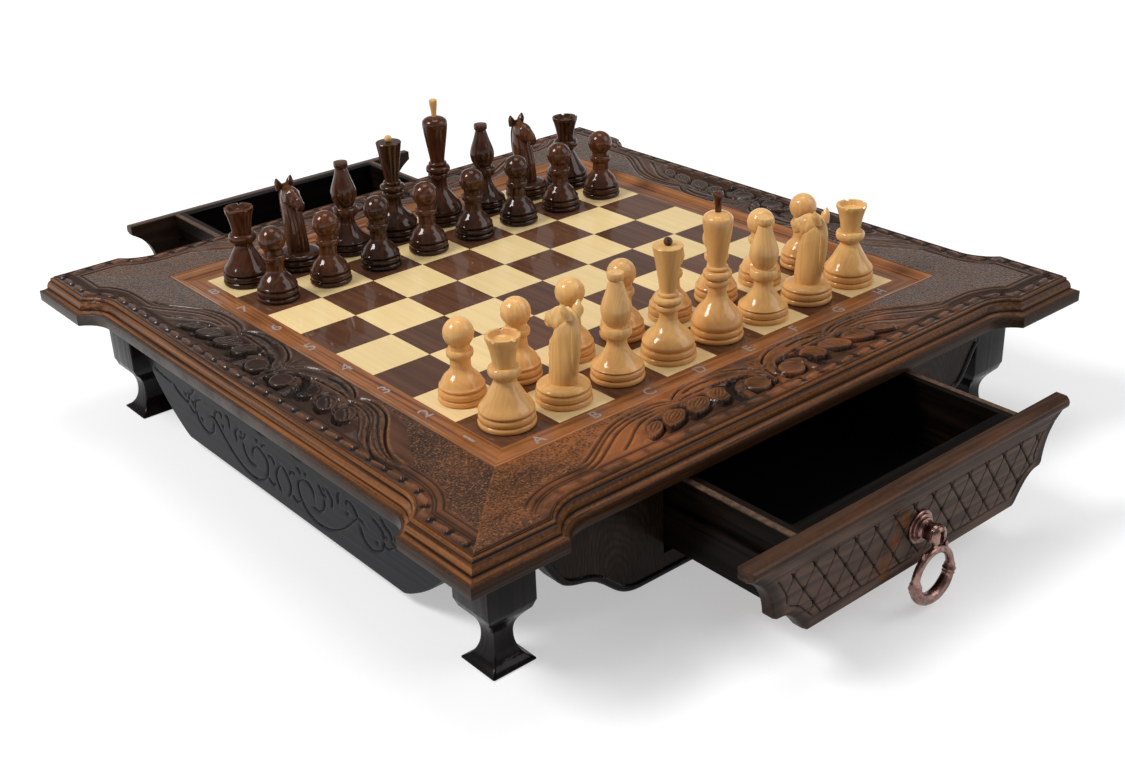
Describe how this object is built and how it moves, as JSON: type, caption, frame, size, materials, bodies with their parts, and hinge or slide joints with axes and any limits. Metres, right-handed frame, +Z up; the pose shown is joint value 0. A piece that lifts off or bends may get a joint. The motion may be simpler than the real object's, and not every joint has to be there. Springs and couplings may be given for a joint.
{
  "type": "chess box with drawers",
  "caption": "Low table-top chess box: moulded frame round an inlaid board on shaped feet, with side-hung drawers at front and back and a set of turned chess men.",
  "frame": {"origin": "middle of the four feet on the floor plane, under the centre of the board", "axes": "+Z up, -Y towards the light side's player and the front drawer, +X along the first rank from file a to file h"},
  "size_m": [0.4998, 0.709, 0.1906],
  "materials": {
    "frame_wood": "carved, stained and wax-polished, rubbed lighter on the high places",
    "bead_wood": "polished",
    "core_wood": "raw, glued up",
    "border_veneer": "high gloss lacquer",
    "light_veneer": "high gloss lacquer",
    "dark_veneer": "high gloss lacquer",
    "apron_wood": "carved and wax-polished",
    "side_lacquer": "incised, dark polished lacquer",
    "foot_wood": "dark stained and polished",
    "dowel_wood": "raw beech",
    "carcass_wood": "raw, planed",
    "panel_wood": "raw plywood",
    "screw_steel": "zinc plated",
    "drawer_face": "carved lattice, waxed, rubbed orange on the edges",
    "drawer_wood": "stained and waxed, worn on the top edges",
    "felt": "black felt",
    "pull_bronze": "copper-toned antique bronze",
    "light_men": "turned boxwood, polished",
    "dark_men": "turned dark stained wood, polished"
  },
  "bodies": {
    "root": {"front_rail": "frame_wood", "right_rail": "frame_wood", "back_rail": "frame_wood", "left_rail": "frame_wood", "bead_strips": "bead_wood", "board_core": "core_wood", "border_strips": "border_veneer", "light_squares": "light_veneer", "dark_squares": "dark_veneer", "front_apron": "apron_wood", "back_apron": "apron_wood", "left_apron": "side_lacquer", "right_apron": "side_lacquer", "front_left_foot": "foot_wood", "front_right_foot": "foot_wood", "back_left_foot": "foot_wood", "back_right_foot": "foot_wood", "foot_dowels": "dowel_wood", "left_cheek": "carcass_wood", "right_cheek": "carcass_wood", "runners": "carcass_wood", "centre_divider": "carcass_wood", "bottom_panel": "panel_wood", "carcass_screws": "screw_steel"},
    "front_drawer": {"front_drawer_front": "drawer_face", "front_drawer_box_front": "drawer_wood", "front_drawer_sides": "drawer_wood", "front_drawer_back": "drawer_wood", "front_drawer_bottom": "panel_wood", "front_drawer_felt": "felt", "front_pull_post": "pull_bronze", "front_pull_pin": "pull_bronze", "pull_screws_front": "screw_steel"},
    "front_ring": {"front_pull_ring": "pull_bronze"},
    "back_drawer": {"back_drawer_front": "drawer_face", "back_drawer_box_front": "drawer_wood", "back_drawer_sides": "drawer_wood", "back_drawer_back": "drawer_wood", "back_drawer_bottom": "panel_wood", "back_drawer_felt": "felt", "back_pull_post": "pull_bronze", "back_pull_pin": "pull_bronze", "pull_screws_back": "screw_steel"},
    "back_ring": {"back_pull_ring": "pull_bronze"},
    "light_pawns": {"light_pawns": "light_men"},
    "light_rooks": {"light_rooks": "light_men"},
    "light_knights": {"light_knights": "light_men"},
    "light_bishops": {"light_bishops": "light_men"},
    "light_queen": {"light_queen": "light_men", "light_queen_ball": "dark_men"},
    "light_king": {"light_king": "light_men", "light_king_peg": "dark_men"},
    "dark_pawns": {"dark_pawns": "dark_men"},
    "dark_rooks": {"dark_rooks": "dark_men"},
    "dark_knights": {"dark_knights": "dark_men"},
    "dark_bishops": {"dark_bishops": "dark_men"},
    "dark_queen": {"dark_queen": "dark_men", "dark_queen_ball": "light_men"},
    "dark_king": {"dark_king": "dark_men", "dark_king_peg": "light_men"}
  },
  "joints": [
    {"name": "front_drawer_slide", "type": "slide", "parent": "root", "child": "front_drawer", "axis": [0, -1, 0], "range_m": [-0.0912, 0.0538]},
    {"name": "back_drawer_slide", "type": "slide", "parent": "root", "child": "back_drawer", "axis": [0, 1, 0], "range_m": [-0.134, 0.011]},
    {"name": "front_ring_swing", "type": "hinge", "parent": "front_drawer", "child": "front_ring", "pos_m": [0, -0.3285, 0.0476], "axis": [-1, 0, 0], "range_deg": [-12, 100]},
    {"name": "back_ring_swing", "type": "hinge", "parent": "back_drawer", "child": "back_ring", "pos_m": [0, 0.3713, 0.0476], "axis": [1, 0, 0], "range_deg": [-12, 100]},
    {"name": "light_pawns_lift", "type": "slide", "parent": "root", "child": "light_pawns", "axis": [0, 0, 1], "range_m": [0, 0.1]},
    {"name": "light_rooks_lift", "type": "slide", "parent": "root", "child": "light_rooks", "axis": [0, 0, 1], "range_m": [0, 0.1]},
    {"name": "light_knights_lift", "type": "slide", "parent": "root", "child": "light_knights", "axis": [0, 0, 1], "range_m": [0, 0.1]},
    {"name": "light_bishops_lift", "type": "slide", "parent": "root", "child": "light_bishops", "axis": [0, 0, 1], "range_m": [0, 0.1]},
    {"name": "light_queen_lift", "type": "slide", "parent": "root", "child": "light_queen", "axis": [0, 0, 1], "range_m": [0, 0.1]},
    {"name": "light_king_lift", "type": "slide", "parent": "root", "child": "light_king", "axis": [0, 0, 1], "range_m": [0, 0.1]},
    {"name": "dark_pawns_lift", "type": "slide", "parent": "root", "child": "dark_pawns", "axis": [0, 0, 1], "range_m": [0, 0.1]},
    {"name": "dark_rooks_lift", "type": "slide", "parent": "root", "child": "dark_rooks", "axis": [0, 0, 1], "range_m": [0, 0.1]},
    {"name": "dark_knights_lift", "type": "slide", "parent": "root", "child": "dark_knights", "axis": [0, 0, 1], "range_m": [0, 0.1]},
    {"name": "dark_bishops_lift", "type": "slide", "parent": "root", "child": "dark_bishops", "axis": [0, 0, 1], "range_m": [0, 0.1]},
    {"name": "dark_queen_lift", "type": "slide", "parent": "root", "child": "dark_queen", "axis": [0, 0, 1], "range_m": [0, 0.1]},
    {"name": "dark_king_lift", "type": "slide", "parent": "root", "child": "dark_king", "axis": [0, 0, 1], "range_m": [0, 0.1]}
  ]
}
